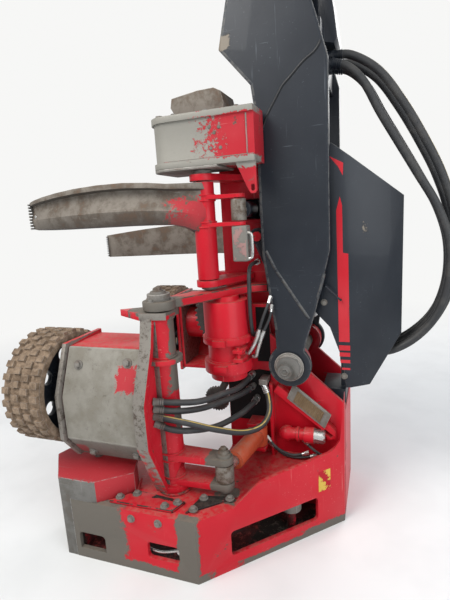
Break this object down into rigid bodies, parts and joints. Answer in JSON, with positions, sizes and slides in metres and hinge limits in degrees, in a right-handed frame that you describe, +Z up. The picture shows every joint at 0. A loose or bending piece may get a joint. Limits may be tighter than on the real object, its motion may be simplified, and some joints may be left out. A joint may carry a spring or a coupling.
{
  "type": "harvester head",
  "caption": "Tree harvester head standing on its saw box: hanger, two drive wheels on arms, delimbing arms, main and topping saws, hose loop.",
  "frame": {"origin": "on the floor in the plane midway between the drive arms, under the hanger: the rotator's axis", "axes": "-X towards the log, +X towards the hose loop, -Y towards the saw box side, +Z up along the log"},
  "size_m": [2.1363, 1.788, 2.68],
  "materials": {
    "red_paint": "gloss red paint, scuffed and dusty",
    "black_paint": "satin blue-black paint, scratched",
    "worn_steel": "bare worn steel, rust brown in the hollows",
    "rod_chrome": "hard chrome",
    "muddy_tread": "steel tread caked with dry mud",
    "hose_rubber": "black hydraulic hose",
    "valve_steel": "dark painted valve bank"
  },
  "bodies": {
    "chassis": {"chassis_frame": "red_paint", "column_top": "red_paint", "cylinder_ears": "red_paint", "wheel_ears": "red_paint", "cover_carrier": "red_paint", "arm_hose_ports": "worn_steel", "saw_box": "red_paint", "saw_box_nose": "worn_steel", "deck_plates": "red_paint", "arm_bracket_near": "red_paint", "arm_bracket_far": "red_paint", "drive_arm_pins": "worn_steel", "limb_brackets": "red_paint", "limb_pins": "worn_steel", "top_saw_box": "red_paint", "top_saw_nose": "worn_steel", "top_knife": "worn_steel", "valve_cover": "black_paint", "valve_block": "valve_steel", "pipe_elbow": "red_paint", "pipe_bracket": "red_paint", "hanger_pin": "worn_steel", "motor_casting": "red_paint", "loop_hoses": "hose_rubber", "arm_hoses": "hose_rubber"},
    "hanger": {"hanger_plates": "black_paint", "hanger_box": "black_paint", "rotator_plate": "black_paint"},
    "tilt_barrel": {"tilt_barrels": "black_paint"},
    "tilt_rod": {"tilt_rods": "rod_chrome"},
    "drive_arm_near": {"drive_arm_near": "red_paint", "motor_cover_near": "worn_steel"},
    "drive_wheel_near": {"wheel_rim_near": "black_paint", "wheel_tread_near": "muddy_tread"},
    "drive_arm_far": {"drive_arm_far": "red_paint", "motor_cover_far": "worn_steel"},
    "drive_wheel_far": {"wheel_rim_far": "black_paint", "wheel_tread_far": "muddy_tread"},
    "frame_wheel": {"frame_wheel": "worn_steel"},
    "limb_near": {"limb_arm_near": "worn_steel", "limb_lever_near": "red_paint"},
    "limb_far": {"limb_arm_far": "worn_steel", "limb_lever_far": "red_paint"},
    "arm_barrel_near": {"arm_barrel_near": "black_paint"},
    "arm_rod_near": {"arm_rod_near": "rod_chrome"},
    "arm_barrel_far": {"arm_barrel_far": "black_paint"},
    "arm_rod_far": {"arm_rod_far": "rod_chrome"},
    "limb_barrel_near": {"limb_barrel_near": "black_paint"},
    "limb_rod_near": {"limb_rod_near": "rod_chrome"},
    "limb_barrel_far": {"limb_barrel_far": "black_paint"},
    "limb_rod_far": {"limb_rod_far": "rod_chrome"},
    "main_bar": {"main_bar": "worn_steel"},
    "top_bar": {"top_bar": "worn_steel"},
    "measuring_arm": {"measuring_arm": "worn_steel"},
    "measuring_wheel": {"measuring_wheel": "worn_steel"}
  },
  "joints": [
    {"name": "hanger_tilt", "type": "hinge", "parent": "chassis", "child": "hanger", "pos_m": [0.05, 0, 0.81], "axis": [0, 1, 0], "range_deg": [0, 90], "deforming": ["loop_hoses"]},
    {"name": "tilt_barrel_turn", "type": "hinge", "parent": "chassis", "child": "tilt_barrel", "pos_m": [-0.096, 0, 1.44], "axis": [0, 1, 0], "range_deg": [-6, 0.5]},
    {"name": "tilt_rod_slide", "type": "slide", "parent": "tilt_barrel", "child": "tilt_rod", "axis": [0.392, 0, -0.92], "range_m": [-0.005, 0.26]},
    {"name": "drive_arm_near_swing", "type": "hinge", "parent": "chassis", "child": "drive_arm_near", "pos_m": [-0.445, -0.62, 0.7], "axis": [0, 0, 1], "range_deg": [-30, 5], "deforming": ["arm_hoses"]},
    {"name": "drive_arm_far_swing", "type": "hinge", "parent": "chassis", "child": "drive_arm_far", "pos_m": [-0.445, 0.62, 0.7], "axis": [0, 0, 1], "range_deg": [-5, 30]},
    {"name": "drive_wheel_near_spin", "type": "hinge", "parent": "drive_arm_near", "child": "drive_wheel_near", "pos_m": [-1.035, -0.62, 0.78], "axis": [1, 0, 0], "continuous": true},
    {"name": "drive_wheel_far_spin", "type": "hinge", "parent": "drive_arm_far", "child": "drive_wheel_far", "pos_m": [-1.035, 0.62, 0.78], "axis": [1, 0, 0], "continuous": true},
    {"name": "frame_wheel_spin", "type": "hinge", "parent": "chassis", "child": "frame_wheel", "pos_m": [-0.36, 0, 1], "axis": [0, 1, 0], "continuous": true},
    {"name": "arm_barrel_near_turn", "type": "hinge", "parent": "chassis", "child": "arm_barrel_near", "pos_m": [-0.13, -0.262, 0.42], "axis": [0, 0, 1], "range_deg": [-2, 2]},
    {"name": "arm_rod_near_slide", "type": "slide", "parent": "arm_barrel_near", "child": "arm_rod_near", "axis": [-0.1653, -0.9862, 0], "range_m": [-0.03, 0.14]},
    {"name": "arm_barrel_far_turn", "type": "hinge", "parent": "chassis", "child": "arm_barrel_far", "pos_m": [-0.13, 0.262, 0.42], "axis": [0, 0, 1], "range_deg": [-2, 2]},
    {"name": "arm_rod_far_slide", "type": "slide", "parent": "arm_barrel_far", "child": "arm_rod_far", "axis": [-0.1653, 0.9862, 0], "range_m": [-0.03, 0.14]},
    {"name": "limb_near_swing", "type": "hinge", "parent": "chassis", "child": "limb_near", "pos_m": [-0.3, -0.38, 1.5], "axis": [0, 0, 1], "range_deg": [-40, 8]},
    {"name": "limb_far_swing", "type": "hinge", "parent": "chassis", "child": "limb_far", "pos_m": [-0.3, 0.38, 1.5], "axis": [0, 0, 1], "range_deg": [-8, 40]},
    {"name": "limb_barrel_near_turn", "type": "hinge", "parent": "chassis", "child": "limb_barrel_near", "pos_m": [-0.165, -0.06, 1.57], "axis": [0, 0, 1], "range_deg": [-7, 3]},
    {"name": "limb_rod_near_slide", "type": "slide", "parent": "limb_barrel_near", "child": "limb_rod_near", "axis": [0.0933, -0.9956, 0], "range_m": [-0.025, 0.11]},
    {"name": "limb_barrel_far_turn", "type": "hinge", "parent": "chassis", "child": "limb_barrel_far", "pos_m": [-0.165, 0.06, 1.57], "axis": [0, 0, 1], "range_deg": [-3, 7]},
    {"name": "limb_rod_far_slide", "type": "slide", "parent": "limb_barrel_far", "child": "limb_rod_far", "axis": [0.0933, 0.9956, 0], "range_m": [-0.025, 0.11]},
    {"name": "main_bar_swing", "type": "hinge", "parent": "chassis", "child": "main_bar", "pos_m": [0.06, -0.4, 0.15], "axis": [0, 0, 1], "range_deg": [-65, 0]},
    {"name": "top_bar_swing", "type": "hinge", "parent": "chassis", "child": "top_bar", "pos_m": [-0.13, -0.33, 1.85], "axis": [0, 0, 1], "range_deg": [-60, 0]},
    {"name": "measuring_arm_swing", "type": "hinge", "parent": "chassis", "child": "measuring_arm", "pos_m": [-0.35, -0.05, 0.64], "axis": [0, 1, 0], "range_deg": [0, 12]},
    {"name": "measuring_wheel_spin", "type": "hinge", "parent": "measuring_arm", "child": "measuring_wheel", "pos_m": [-0.43, -0.05, 0.5], "axis": [0, 1, 0], "continuous": true}
  ],
  "couplings": [
    {"joint": "tilt_barrel_turn", "follows": "hanger_tilt", "ratio": -0.035},
    {"joint": "tilt_rod_slide", "follows": "hanger_tilt", "m_per_rad": 0.1592},
    {"joint": "drive_arm_far_swing", "follows": "drive_arm_near_swing", "ratio": -1},
    {"joint": "arm_barrel_near_turn", "follows": "drive_arm_near_swing", "ratio": 0.03},
    {"joint": "arm_rod_near_slide", "follows": "drive_arm_near_swing", "m_per_rad": -0.2503},
    {"joint": "arm_barrel_far_turn", "follows": "drive_arm_near_swing", "ratio": -0.03},
    {"joint": "arm_rod_far_slide", "follows": "drive_arm_near_swing", "m_per_rad": -0.2503},
    {"joint": "limb_far_swing", "follows": "limb_near_swing", "ratio": -1},
    {"joint": "limb_barrel_near_turn", "follows": "limb_near_swing", "ratio": 0.14},
    {"joint": "limb_rod_near_slide", "follows": "limb_near_swing", "m_per_rad": -0.152},
    {"joint": "limb_barrel_far_turn", "follows": "limb_near_swing", "ratio": -0.14},
    {"joint": "limb_rod_far_slide", "follows": "limb_near_swing", "m_per_rad": -0.152}
  ]
}
